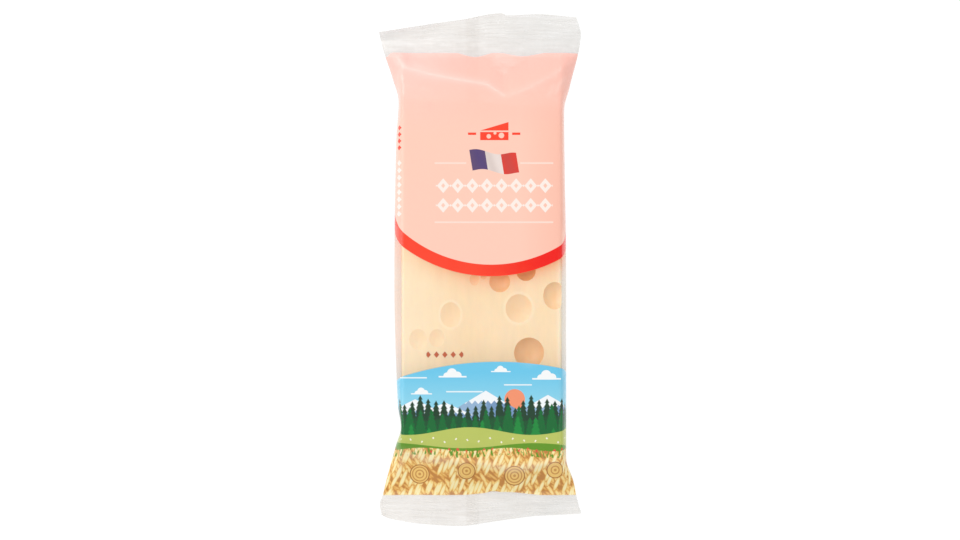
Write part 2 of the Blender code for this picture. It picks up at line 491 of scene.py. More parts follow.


# The eyes that show in the window, in millimetres: (x, y, half width, half length, depth), and how much
# painted shade deepens the colour of each against the cut face
WINDOW_EYES = (
    (9.0, -5.7, 4.9, 4.9, 2.4, 0.60),
    (21.2, -0.7, 4.6, 4.6, 3.4, 0.95),
    (34.6, -12.2, 5.3, 6.4, 2.6, 0.34),
    (17.9, -18.1, 6.2, 6.7, 1.6, 0.24),
    (-14.0, -21.1, 4.8, 6.0, 0.9, 0.14),
    (-29.1, -32.6, 4.2, 5.0, 0.8, 0.12),
    (-20.3, -32.0, 3.7, 4.3, 0.7, 0.12),
    (22.7, -38.9, 7.0, 7.2, 3.9, 0.55),
    (-2.8, -4.7, 2.3, 2.8, 0.5, 0.30),
    (1.5, -3.2, 1.4, 1.4, 0.5, 0.30),
    (-12.4, 2.6, 3.2, 3.2, 1.5, 0.5),
)
WINDOW_EDGES = (-0.052, 0.030)
RIM_ANGLE = math.radians(14)
HIDDEN_EYES = 46
# How much painted shade deepens the hidden eyes.
HIDDEN_EYE_SHADE = 0.7
EYE_RADII = (0.0020, 0.0062)
EYE_SINK = (-0.5, 0.6)  # how far inside the slab's face an eye's centre lies, of its radius
EYE_GAP = 0.001
ON_SPHERE = 0.02  # how far off an eye's sphere its faces may be, of its radius
FACING = 0.97


def window_eyes():
    """Each eye as its centre, its radii and its painted shade, from its size at the slab's top and its depth.
    """
    for x, y, half_width, half_length, depth, eye_shade in WINDOW_EYES:
        radius = (half_width**2 + depth**2) / (2 * depth)
        stretch = half_length / half_width
        centre = np.array([x * MM, y * MM, CHEESE_TOP + (radius - depth) * MM])
        yield centre, np.array([radius, radius * stretch, radius]) * MM, eye_shade


def hidden_eyes(shown):
    """More eyes, cut by any face of the slab outside the window, clear of one another."""
    draw = np.random.default_rng(23)
    placed = [(centre, radii.max()) for centre, radii, _ in shown]
    made = []
    low = (SLAB_LEFT, SLAB_FOOT[0][1], CHEESE_BASE)
    high = (SLAB_RIGHT, SLAB_HEAD[0][1], CHEESE_TOP)
    while len(made) < HIDDEN_EYES:
        radius = draw.uniform(*EYE_RADII) * draw.uniform(0.7, 1.0)
        centre = draw.uniform(low, high)
        axis, at_high, sunk = draw.integers(0, 3), draw.integers(0, 2), draw.uniform(*EYE_SINK) * radius
        face = high[axis] if at_high else low[axis]
        if axis == 1:
            face = straight_through(SLAB_HEAD if at_high else SLAB_FOOT, centre[0])
        centre[axis] = face - sunk if at_high else face + sunk
        near_top = centre[2] > CHEESE_TOP - radius
        if near_top and WINDOW_EDGES[0] - radius < centre[1] < WINDOW_EDGES[1] + radius:
            continue
        if any(np.linalg.norm(centre - other) < radius + size + EYE_GAP for other, size in placed):
            continue
        placed.append((centre, radius))
        made.append((centre, np.full(3, radius), HIDDEN_EYE_SHADE))
    return made


def slab_block():
    """The slab before its eyes: a block with slanting ends and rounded edges."""
    bm = bmesh.new()
    outline = (SLAB_FOOT[0], SLAB_FOOT[1], SLAB_HEAD[1], SLAB_HEAD[0])
    base = bm.faces.new([bm.verts.new((x, y, CHEESE_BASE)) for x, y in outline])
    grown = bmesh.ops.extrude_face_region(bm, geom=[base])
    lifted = [item for item in grown["geom"] if isinstance(item, bmesh.types.BMVert)]
    bmesh.ops.translate(bm, verts=lifted, vec=(0, 0, CHEESE_TOP - CHEESE_BASE))
    bmesh.ops.recalc_face_normals(bm, faces=bm.faces)
    bmesh.ops.bevel(
        bm, geom=bm.edges[:], offset=CHEESE_EDGE, segments=CHEESE_ROUNDING, profile=0.5, affect="EDGES"
    )
    mesh = bpy.data.meshes.new("cheese_slab")
    bm.to_mesh(mesh)
    bm.free()
    slab = bpy.data.objects.new("cheese_slab", mesh)
    bpy.context.scene.collection.objects.link(slab)
    return slab


def eye_cutter(centre, radii):
    bm = bmesh.new()
    bmesh.ops.create_icosphere(bm, subdivisions=4, radius=1.0)
    bmesh.ops.scale(bm, vec=radii, verts=bm.verts)
    bmesh.ops.translate(bm, vec=centre, verts=bm.verts)
    mesh = bpy.data.meshes.new("eye")
    bm.to_mesh(mesh)
    bm.free()
    cutter = bpy.data.objects.new("eye", mesh)
    bpy.context.scene.collection.objects.link(cutter)
    return cutter


def apply_modifiers(piece):
    """Makes the mesh what its modifiers show, and removes them."""
    bpy.context.view_layer.update()
    graph = bpy.context.evaluated_depsgraph_get()
    made = bpy.data.meshes.new_from_object(piece.evaluated_get(graph))
    old = piece.data
    piece.modifiers.clear()
    piece.data = made
    bpy.data.meshes.remove(old)


def paint_eye_shade(mesh, eyes):
    """Marks each face inside an eye with how much painted shade deepens its colour."""
    centres, normals = np.empty(len(mesh.polygons) * 3), np.empty(len(mesh.polygons) * 3)
    mesh.polygons.foreach_get("center", centres)
    mesh.polygons.foreach_get("normal", normals)
    centres, normals = centres.reshape(-1, 3), normals.reshape(-1, 3)
    eye_shades = np.zeros(len(centres))
    for centre, radii, eye_shade in eyes:
        inward = (centre - centres) / radii
        reach = np.linalg.norm(inward, axis=1)
        facing = np.sum(inward / radii * normals, axis=1) / np.linalg.norm(inward / radii, axis=1)
        eye_shades[(np.abs(reach - 1) < ON_SPHERE) & (facing > FACING)] = eye_shade
    layer = mesh.attributes.new("eye_shade", "FLOAT", "FACE")
    layer.data.foreach_set("value", eye_shades.astype(np.float32))


def build_cheese():
    """The slab, with round eyes cut into every face."""
    slab = slab_block()
    eyes = list(window_eyes())
    eyes += hidden_eyes(eyes)
    for centre, radii, _ in eyes:
        cutter = eye_cutter(centre, radii)
        cut = slab.modifiers.new("eye", "BOOLEAN")
        cut.operation = "DIFFERENCE"
        cut.object = cutter
        apply_modifiers(slab)
        bpy.data.objects.remove(cutter)
    slab.data.shade_smooth()
    slab.data.set_sharp_from_angle(angle=RIM_ANGLE)
    paint_eye_shade(slab.data, eyes)
    even = slab.modifiers.new("even_light", "WEIGHTED_NORMAL")
    even.keep_sharp = True
    apply_modifiers(slab)
    return slab


# Materials

EDGE_SOFTNESS = 0.14  # millimetres


def light(red, green, blue):
    """A colour as a screen shows it, turned into the linear light that shaders use."""
    shares = np.array([red, green, blue]) / 255
    linear = np.where(shares <= 0.04045, shares / 12.92, ((shares + 0.055) / 1.055) ** 2.4)
    return (*linear, 1.0)


def feed(slot, value):
    """Gives a socket a value, or a link where the value varies over the surface."""
    if isinstance(value, Reading):
        slot.id_data.links.new(value.socket, slot)
    elif isinstance(value, bpy.types.NodeSocket):
        slot.id_data.links.new(value, slot)
    else:
        slot.default_value = value


class Reading:
    """A number that varies over a surface: a socket of a material, which arithmetic extends."""

    def __init__(self, socket):
        self.socket = socket

    def math(self, operation, *others, clamp=False):
        node = self.socket.id_data.nodes.new("ShaderNodeMath")
        node.operation = operation
        node.use_clamp = clamp
        for slot, value in zip(node.inputs, (self, *others)):
            feed(slot, value)
        return Reading(node.outputs[0])

    def __add__(self, other):
        return self.math("ADD", other)

    def __sub__(self, other):
        return self.math("SUBTRACT", other)

    def __rsub__(self, other):
        return self.math("MULTIPLY_ADD", -1.0, other)

    def __mul__(self, other):
        return self.math("MULTIPLY", other)

    def __truediv__(self, other):
        return self.math("DIVIDE", other)

    def __abs__(self):
        return self.math("ABSOLUTE")

    __radd__ = __add__
    __rmul__ = __mul__

    def clipped(self, factor=1.0):
        """This number times a factor, kept from 0 to 1."""
        return self.math("MULTIPLY", factor, clamp=True)

    def sine(self, pitch, start=0.0):
        """A wave from -1 to 1 along this number, rising through 0 at the start."""
        return self.math("MULTIPLY_ADD", math.tau / pitch, -math.tau * start / pitch).math("SINE")

    def swell(self, middle, reach):
        """1 in the middle, easing down to 0 at this reach to both sides."""
        part = (self - middle) / reach
        dome = (1 - part * part).math("MAXIMUM", 0.0)
        return dome * dome

    def around(self, centre, pitch):
        """How far this number is from the nearest of places a pitch apart, one of them the centre."""
        return self.math("WRAP", centre + pitch / 2, centre - pitch / 2) - centre


def both(first, *others):
    for other in others:
        first = first.math("MINIMUM", other)
    return first


def either(first, *others):
    for other in others:
        first = first.math("MAXIMUM", other)
    return first


def blended(tree, first, second, share):
    """A colour that turns from the first to the second as the share goes from 0 to 1."""
    node = tree.nodes.new("ShaderNodeMix")
    node.data_type = "RGBA"
    feed(node.inputs[0], share)
    feed(node.inputs[6], first)
    feed(node.inputs[7], second)
    return node.outputs[2]


class Print:
    """The film's artwork. A shape is a reading of how deep inside it a place is, in millimetres."""

    def __init__(self, tree):
        self.tree = tree
        flat = self.add("ShaderNodeUVMap")
        flat.uv_map = "flat"
        scaled = self.add("ShaderNodeVectorMath", operation="SCALE")
        feed(scaled.inputs["Vector"], flat.outputs["UV"])
        scaled.inputs["Scale"].default_value = 1 / MM
        self.place = scaled.outputs["Vector"]
        apart = self.add("ShaderNodeSeparateXYZ")
        feed(apart.inputs[0], self.place)
        self.s, self.v = Reading(apart.outputs[0]), Reading(apart.outputs[1])

    def add(self, kind, **settings):
        node = self.tree.nodes.new(kind)
        for name, value in settings.items():
            setattr(node, name, value)
        return node

    def paint(self, colour, ink, shape, softness=EDGE_SOFTNESS):
        """A colour with an ink printed over it inside a shape."""
        cover = shape.math("MULTIPLY_ADD", 1 / softness, 0.5, clamp=True)
        return self.blend(colour, ink, cover)

    def blend(self, colour, ink, share):
        return blended(self.tree, colour, ink, share)

    def noise(self, size, scale, detail):
        """Cloudy unevenness on the flat film, with spots of this relative width and length."""
        stretched = self.add("ShaderNodeMapping", vector_type="TEXTURE")
        feed(stretched.inputs["Vector"], self.place)
        stretched.inputs["Scale"].default_value = (*size, 1)
        clouds = self.add("ShaderNodeTexNoise", noise_dimensions="2D")
        feed(clouds.inputs["Vector"], stretched.outputs[0])
        clouds.inputs["Scale"].default_value = scale
        clouds.inputs["Detail"].default_value = detail
        return clouds.outputs["Fac"]

    def away(self, x, y):
        """The distance from a point."""
        node = self.add("ShaderNodeVectorMath", operation="DISTANCE")
        feed(node.inputs[0], self.place)
        node.inputs[1].default_value = (x, y, 0)
        return Reading(node.outputs["Value"])

    def disc(self, x, y, radius):
        return radius - self.away(x, y)

    def bar(self, x, y, width, height, s=None):
        across = width / 2 - abs((self.s if s is None else s) - x)
        return both(across, height / 2 - abs(self.v - y))

    def lozenge(self, x, y, width, height, s=None):
        across = abs((self.s if s is None else s) - x) * (height / width)
        return (height / 2 - abs(self.v - y) - across) * (width / math.hypot(width, height))

    def bowl(self, x, y, radius, reach):
        """Inside a circle near its lowest or highest point, turning level near the reach to both sides."""
        across = abs(self.s - x).math("SMOOTH_MIN", reach, LEVELLING)
        up = self.v - y
        return radius - (across * across + up * up).math("SQRT")

    def streaks(self, turn, width, length, thickness):
        """Short slim strokes lying at an angle, spread unevenly."""
        turned = self.add("ShaderNodeMapping", vector_type="TEXTURE")
        feed(turned.inputs["Vector"], self.place)
        turned.inputs["Rotation"].default_value = (0, 0, turn)
        turned.inputs["Scale"].default_value = (width, length, 1)
        cells = self.add("ShaderNodeTexVoronoi", voronoi_dimensions="2D", feature="F1")
        feed(cells.inputs["Vector"], turned.outputs[0])
        cells.inputs["Scale"].default_value = 1.0
        return (thickness - Reading(cells.outputs["Distance"])) * width


BAND_CENTRE = (4.5, 65.6)
BAND_INNER = 63.3
BAND_OUTER = 68.7
BAND_REACH = 52.0
LEVELLING = 10.0  # how long both edges take to turn level there
PICTURE_CENTRE = (7.5, -190.0)
PICTURE_RADIUS = 147.0

# The print's ends and their dips: each where it is, how far it reaches and how deep it is
PRINT_HEAD = 101.7
HEAD_DIPS = ((-45.5, 5.0, 2.0), (-3.0, 9.0, 1.8), (19.5, 11.0, 1.4))
PRINT_FOOT = -106.1
FOOT_RISES = ((10.0, 19.0, 1.5), (5.4, 4.0, 0.6))
SETBACK_START = 46.0  # past this, the ends lie further in
SETBACK_SLOPE = 0.3
SETBACK = 1.6

# The pink deepens towards the right, a painted shade, and is paler at the head's left, a painted reflection.
PINK = light(255, 207, 188)
PINK_SHADED_RIGHT = light(255, 196, 176)
PINK_HEAD = light(254, 196, 183)
PINK_LIT_HEAD_LEFT = light(254, 205, 195)
RED = light(254, 66, 40)
DEEP_RED = light(244, 8, 4)
WHITE_INK = light(253, 240, 232)
RULE_INK = light(253, 226, 213)
BROWN_INK = light(190, 96, 66)
BACK_INK = light(255, 217, 208)
BACK_EDGES = (-58.0, 58.0)

RULES = ((-14.5, 49.7, 14.8), (25.8, 49.7, 15.4), (5.8, 22.1, 55.4))  # each its middle and its width
RULE_THICKNESS = 0.75
ROW_MIDDLE = 5.95
ROW_HEIGHTS = (39.15, 30.0)
ROW_PITCH = 6.81
ROW_HALF = 4 * ROW_PITCH
LOZENGE = (5.9, 6.9)
LOZENGE_HOLE = (1.9, 2.3)


def print_panel(art):
    """The pink panel: rules, rows of lozenges, a small waving flag and a wedge pictogram."""
    s, v = art.s, art.v
    # Painted shade deepens the pink towards the right; painted reflection pales it at the head's left.
    rightwards = (both(s - 18.0, 88.0 - s) / 18.0).clipped()
    colour = art.blend(PINK, PINK_SHADED_RIGHT, rightwards)
    head_pink = art.blend(PINK_LIT_HEAD_LEFT, PINK_HEAD, ((s + 30.0) / 28.0).clipped())
    colour = art.blend(colour, head_pink, ((v - 62.0) / 40.0).clipped())
    rules = either(*(art.bar(x, y, width, RULE_THICKNESS) for x, y, width in RULES))
    colour = art.paint(colour, RULE_INK, rules)

    column = s.around(ROW_MIDDLE + ROW_PITCH / 2, ROW_PITCH)
    rows_wide = ROW_HALF - abs(s - ROW_MIDDLE)
    for middle in ROW_HEIGHTS:
        outer = art.lozenge(0, middle, *LOZENGE, s=column)
        inner = art.lozenge(0, middle, *LOZENGE_HOLE, s=column)
        dots = 0.6 - (abs(s.around(ROW_MIDDLE, ROW_PITCH)) + abs(v - middle))
        colour = art.paint(colour, WHITE_INK, both(either(both(outer, 0 - inner), dots), rows_wide))
    colour = print_flag(art, colour)
    colour = print_wedge(art, colour)
    red_marks = both(1.3 - (abs(v.around(57.0, 3.1)) + abs(s + 39.8) * 0.6), 6.2 - abs(v - 61.6))
    colour = art.paint(colour, RED, red_marks)
    white_marks = both(1.5 - (abs(v.around(26.0, 3.4)) + abs(s + 39.6) * 0.7), 13.4 - abs(v - 38.3))
    return art.paint(colour, WHITE_INK, white_marks)


FLAG_CENTRE = (6.0, 50.2)
FLAG_SIZE = (21.6, 9.0)


def print_flag(art, colour):
    """Three upright stripes on a cloth that waves."""
    s, v = art.s, art.v
    x, y = FLAG_CENTRE
    width, height = FLAG_SIZE
    swing = (s + v * 0.35).sine(17.0, start=13.5)
    lifted = v - swing * 0.75 + (s - x) * 0.09
    slanted = s + (v - y) * 0.16
    cloth = both(width / 2 - abs(slanted - x), height / 2 - abs(lifted - y))
    past_first = (slanted - (x - width / 6)).math("GREATER_THAN", 0.0)
    past_second = (slanted - (x + width / 6)).math("GREATER_THAN", 0.0)
    stripes = art.blend(light(84, 66, 120), light(238, 224, 218), past_first)
    stripes = art.blend(stripes, light(224, 58, 48), past_second)
    shade = (s + v * 0.35).sine(8.5, start=11.0).math("MULTIPLY_ADD", 0.10, 0.10, clamp=True)
    stripes = art.blend(stripes, light(120, 90, 90), shade)
    return art.paint(colour, stripes, cloth)


def print_wedge(art, colour):
    """A plain pictogram: a wedge of cheese with three holes, between two short bars."""
    s, v = art.s, art.v
    left, right, foot = -0.6, 12.6, 60.4
    body = both(s - left, right - s, v - foot, 64.2 - v)
    roof = both(right - s, v - 64.9, (s - left) * 0.30 - (v - 64.9), s - left)
    holes = either(art.disc(3.4, 62.2, 1.05), art.disc(9.3, 62.6, 1.3), art.disc(6.3, 63.7, 0.7))
    bars = either(art.bar(-4.4, 63.4, 3.8, 1.1), art.bar(16.2, 63.4, 3.8, 1.1))
    wedge = either(both(body, 0 - holes), roof, bars)
    return art.paint(colour, RED, wedge)


def print_cloud(art, colour, x, y, size):
    """A heap of discs on a flat base, with a thin line of mist under it."""
    puffs = either(
        art.disc(x - 2.6 * size, y + 0.3 * size, 1.7 * size),
        art.disc(x - 0.3 * size, y + 1.6 * size, 2.3 * size),
        art.disc(x + 2.3 * size, y + 0.5 * size, 1.9 * size),
    )
    base = art.v - y
    mist = art.bar(x, y, 13.0 * size, 0.7 * size)
    return art.paint(colour, light(248, 251, 252), either(both(puffs, base), mist))


def print_mountain(art, colour, x, peak, slope):
    """A far peak with a shaded flank and a ragged cap of snow."""
    s, v = art.s, art.v
    body = peak - v - abs(s - x) * slope
    colour = art.paint(colour, light(150, 182, 214), body)
    ragged = s.math("PINGPONG", 1.5)
    colour = art.paint(colour, light(118, 154, 194), both(body, s - x - ragged * 0.5))
    return art.paint(colour, light(246, 250, 253), both(body, v - (peak - 4.6) + ragged * 1.1))


def print_conifers(art, colour, ink, start, pitch, foot, low, high):
    """A row of pointed trees of uneven height."""
    s, v = art.s, art.v
    number = ((s - (start - pitch / 2)) / pitch).math("FLOOR")
    chance = art.add("ShaderNodeTexWhiteNoise", noise_dimensions="1D")
    feed(chance.inputs["W"], number)
    top = Reading(chance.outputs["Value"]).math("MULTIPLY_ADD", high - low, low + foot)
    below = top - v
    tiers = (below / 2.1).math("FRACT")
    tree = both(below * 0.22 + tiers * 0.7 - abs(s.around(start, pitch)), below)
    return art.paint(colour, ink, tree)


# The picture's parts: each where it is, and then its size, length, slope or radius
SKY = (light(150, 218, 240), light(108, 202, 238))
CLOUDS = ((-28.0, -58.0, 0.75), (-13.5, -50.0, 1.0), (9.0, -47.6, 0.7), (30.5, -51.0, 1.05))
WISPS = ((-33.0, -50.5, 15.0), (17.0, -53.8, 13.0), (-8.0, -57.0, 17.0))
WISP_THICKNESS = 0.6
SUN = (15.5, -60.6, 4.8)
PEAKS = ((-31.0, -60.5, 0.50), (31.0, -58.5, 0.56), (2.0, -56.5, 0.60), (-17.0, -62.0, 0.46))
BALES = ((-29.0, -96.0, 4.2), (-7.0, -94.3, 3.7), (15.5, -96.6, 4.4), (34.5, -93.8, 3.6))


def print_picture(art):
    """A made-up summer view: peaks, a wood, meadows with flowers, and straw with round bales."""
    s, v = art.s, art.v
    colour = art.blend(*SKY, ((v + 66.0) / 18.0).clipped())
    for x, y, size in CLOUDS:
        colour = print_cloud(art, colour, x, y, size)
    wisps = either(*(art.bar(x, y, length, WISP_THICKNESS) for x, y, length in WISPS))
    colour = art.paint(colour, light(236, 246, 250), wisps)
    colour = art.paint(colour, light(246, 150, 112), art.disc(*SUN))
    for x, peak, slope in PEAKS:
        colour = print_mountain(art, colour, x, peak, slope)
    colour = print_conifers(art, colour, light(20, 64, 44), 1.0, 3.7, -77.0, 12.5, 19.0)
    colour = art.paint(colour, light(6, 84, 46), s.sine(23.0, start=4.0) * 1.1 - 69.5 - v)
    colour = print_conifers(art, colour, light(0, 106, 50), 2.2, 5.1, -79.0, 10.0, 17.0)
    colour = print_conifers(art, colour, light(14, 138, 60), 0.4, 8.3, -80.0, 6.0, 12.5)

    meadow = s.sine(58.0, start=-20.0) * 1.8 - 75.4 - v
    colour = art.paint(colour, light(188, 200, 100), meadow)
    flowers = 0.55 - (abs(s.around(4.0, 5.3)) + abs((v - s.sine(13.0) * 1.0) + 79.6))
    colour = art.paint(colour, light(250, 246, 228), flowers)
    lawn = s.sine(66.0, start=8.0) * 1.2 - 82.2 - v
    colour = art.paint(colour, light(98, 152, 36), lawn)
    poppies = 0.9 - (abs(s.around(1.2, 4.1)) + abs((v - s.sine(17.0) * 0.7) + 84.6))
    colour = art.paint(colour, light(226, 84, 58), poppies)
    return print_straw(art, colour)


# Layers of cut stalks, the lowest first: turn, width, length and thickness, then the colours of rim, body
# and glint
STALKS = (
    (52, 1.6, 6.4, 0.42, light(210, 146, 72), light(232, 178, 92), light(243, 200, 118)),
    (31, 2.1, 8.0, 0.46, light(216, 152, 76), light(246, 202, 116), light(254, 224, 150)),
    (-22, 2.2, 8.8, 0.46, light(222, 162, 82), light(251, 222, 144), light(255, 242, 186)),
)
BODY_INSET = 0.16
GLINT_INSET = 0.46


def print_straw(art, colour):
    """Cut straw lying criss-cross, with round bales on it."""
    s, v = art.s, art.v
    straw = light(196, 134, 64)
    for turn, width, length, thickness, rim, body, glint in STALKS:
        stalk = art.streaks(math.radians(turn), width, length, thickness)
        straw = art.paint(straw, rim, stalk)
        straw = art.paint(straw, body, stalk - BODY_INSET)
        straw = art.paint(straw, glint, stalk - GLINT_INSET)
    for x, y, radius in BALES:
        away = art.away(x, y)
        straw = art.paint(straw, light(176, 114, 54), radius + 0.5 - away)
        straw = art.paint(straw, light(247, 206, 120), radius - away)
        turns = away.sine(1.5).math("MULTIPLY_ADD", 0.5, -0.15)
        straw = art.paint(straw, light(208, 150, 78), both(turns, radius - 0.5 - away))
    field = s.sine(40.0, start=3.0) * 0.8 - 87.2 - v
    rightward = art.streaks(math.radians(14), 1.3, 6.0, 0.42)
    leftward = art.streaks(math.radians(-17), 1.2, 5.4, 0.40)
    tufts = either(rightward, leftward)
    return art.paint(colour, straw, either(field, both(field + 3.2, tufts)))


def print_artwork(art):
    """The film's inks, how far they cover each place, and how deep inside the band and the picture it is."""
    s, v = art.s, art.v
    inner = art.bowl(*BAND_CENTRE, BAND_INNER, BAND_REACH)
    outer = art.bowl(*BAND_CENTRE, BAND_OUTER, BAND_REACH)
    above = v - BAND_CENTRE[1]
    sooner = (abs(s) - SETBACK_START).clipped(SETBACK_SLOPE) * SETBACK
    head = PRINT_HEAD - v - sooner
    for middle, reach, depth in HEAD_DIPS:
        head = head - s.swell(middle, reach) * depth
    foot = v - PRINT_FOOT - sooner
    for middle, reach, depth in FOOT_RISES:
        foot = foot - s.swell(middle, reach) * depth
    panel = both(either(inner, above), head)
    band = both(either(outer, above), head)
    picture = both(art.bowl(*PICTURE_CENTRE, PICTURE_RADIUS, BAND_REACH), foot)
    back = both(either(s - BACK_EDGES[1], BACK_EDGES[0] - s), head, foot)

    weight_marks = both(1.5 - (abs(s.around(-17.1, 3.9)) * 1.2 + abs(v + 39.7)), 8.6 - abs(s + 17.1))
    colour = art.blend(BACK_INK, BROWN_INK, weight_marks.math("GREATER_THAN", 0.0))
    colour = art.paint(colour, print_picture(art), picture)
    deeper = (both(s + 4.0, 84.0 - s) / 34.0).clipped()
    colour = art.paint(colour, art.blend(RED, DEEP_RED, deeper), band)
    colour = art.paint(colour, print_panel(art), panel)
    cover = either(band, picture, weight_marks, back)
    return colour, cover.math("MULTIPLY_ADD", 1 / EDGE_SOFTNESS, 0.5, clamp=True), outer, picture


def principled(tree, **values):
    shader = tree.nodes.new("ShaderNodeBsdfPrincipled")
    for name, value in values.items():
        feed(shader.inputs[name.replace("_", " ")], value)
    return shader.outputs[0]


def blank_material(name):
    material = bpy.data.materials.new(name)
    material.use_nodes = True
    material.node_tree.nodes.clear()
    return material, material.node_tree


def finish_material(tree, shader):
    feed(tree.nodes.new("ShaderNodeOutputMaterial").inputs["Surface"], shader)


# Where the clear film looks milky or tinted, or carries painted light and shade, in millimetres on the flat
# film
TIPS_START = 98.0  # the pressed ends, along the pack
TIPS_FULL = 100.0
SIDES_START = 37.2  # the strips beside the slab
BACK_START = 60.0
FLAP_START = 104.0
WINDOW_FOOT, WINDOW_HEAD = -70.0, 80.0
# The band's red glow in the window is painted light.
GLOW_REACH = 12.0  # how far from the band its red shines into the window
# The duller, darker window near the picture is painted shade.
SHADE_REACH = 18.0  # how far from the picture the window is duller
INK_OPACITY = 0.90
# How strongly the painted highlight pales the film along the creases.
CREASE_HIGHLIGHT_STRENGTH = 0.32


def frosted_tint(art):
    """The colour of the pressed ends: streaked with painted glints, cooler on the right, and with painted
    light at the corner that curls.
    """
    # Painted glints: whitish streaks along the crimps.
    streaks = Reading(art.noise((7.0, 0.8), 0.5, detail=3.0)) - 0.5
    glints = streaks.math("MULTIPLY_ADD", 3.0, 0.35, clamp=True)
    tint = art.blend(light(218, 212, 205), light(232, 228, 224), glints)
    right_half = both(art.s + 10.0, 106.0 - art.s).clipped(0.025)
    tint = art.blend(tint, light(200, 202, 200), right_half * 0.40)
    # Painted light: the corner that curls is paled against the shade it takes.
    corner = both(art.v - 101.0, -28.0 - art.s, 56.0 + art.s).clipped(0.05)
    return art.blend(tint, light(255, 253, 251), corner)


def film_material():
    """Clear glossy film with nearly opaque inks on it, and a milky look where it is pressed into a seal; with
    painted highlights on its creases and seals, painted sheen, painted light at its side strips, and a
    painted red glow and painted shade in its window.
    """
    material, tree = blank_material("printed_film")
    art = Print(tree)
    inks, cover, in_band, in_picture = print_artwork(art)

    fine = Reading(art.noise((1.0, 1.0), 0.35, detail=4.0))
    # Streaks of milky haze along the pack, partly painted sheen.
    haze_and_sheen = Reading(art.noise((1.0, 5.0), 0.22, detail=3.0))
    ridges = Reading(art.add("ShaderNodeAttribute", attribute_name="crimp").outputs["Fac"])
    # The film is paled along its creases: a painted highlight.
    painted_crease_highlight = Reading(art.add("ShaderNodeAttribute", attribute_name="crease_highlight").outputs["Fac"])
    inks = art.blend(inks, light(255, 238, 230), painted_crease_highlight * CREASE_HIGHLIGHT_STRENGTH)
    bump = art.add("ShaderNodeBump")
    bump.inputs["Strength"].default_value = 0.15
    bump.inputs["Distance"].default_value = 0.0006
    feed(bump.inputs["Height"], fine)

    tips = (abs(art.v) - TIPS_START).clipped(0.4)
    # The strips beside the slab are milkier: a painted reflection of film seen edge-on.
    sides = both(abs(art.s) - SIDES_START, BACK_START - abs(art.s), TIPS_FULL - abs(art.v)).clipped(1.5)
    flap = (art.s - FLAP_START).math("GREATER_THAN", 0.0)
    near_window = both(WINDOW_HEAD - art.v, BACK_START - abs(art.s), art.v - WINDOW_FOOT).clipped(0.1)
    rightwards = ((art.s + 42.0) / 44.0).clipped()
    glow = (in_band / GLOW_REACH + 1.0).clipped() * near_window
    shade = (in_picture / SHADE_REACH + 1.0).clipped() * near_window

    veil = haze_and_sheen * 0.12 + tips * 0.32 + ridges * 0.08 + sides * 0.28
    veil = (veil + glow * glow * rightwards * 0.34 + shade * shade * 0.12) * (1 - flap * (0.9 - tips * 0.2))
    bare = art.blend(light(247, 246, 243), frosted_tint(art), tips)
    # On the left the strips are tinted pink: painted light that comes through the back print.
    side_tint = art.blend(light(225, 181, 146), light(206, 194, 172), art.s.math("GREATER_THAN", 0.0))
    bare = art.blend(bare, side_tint, sides)
    # Painted shade in the window near the picture.
    bare = art.blend(bare, light(180, 172, 160), shade)
    # Painted red glow from the band onto the window.
    bare = art.blend(bare, light(248, 146, 88), glow)

    opacity = (1 - cover) * veil + cover * INK_OPACITY
    surface = principled(
        tree,
        Base_Color=art.blend(bare, inks, cover),
        Roughness=fine.math("MULTIPLY_ADD", 0.16, 0.14),
        Specular_IOR_Level=0.4,
        Normal=bump.outputs[0],
    )
    film = art.add("ShaderNodeMixShader")
    feed(film.inputs[0], opacity)
    feed(film.inputs[1], art.add("ShaderNodeBsdfTransparent").outputs[0])
    feed(film.inputs[2], surface)
    finish_material(tree, film.outputs[0])
    return material


# Painted light: a pale strip along the slab's right edge, against the shade of its rounding.
LIT_EDGE_WIDTH = 0.003  # how wide the pale strip along the slab's right edge is
# The eyes whose painted shade lies between these get a painted highlight round their rim.
LIT_RIM_SHADES = (0.13, 0.3)  # the eyes with a tone between these have a faint pale ring


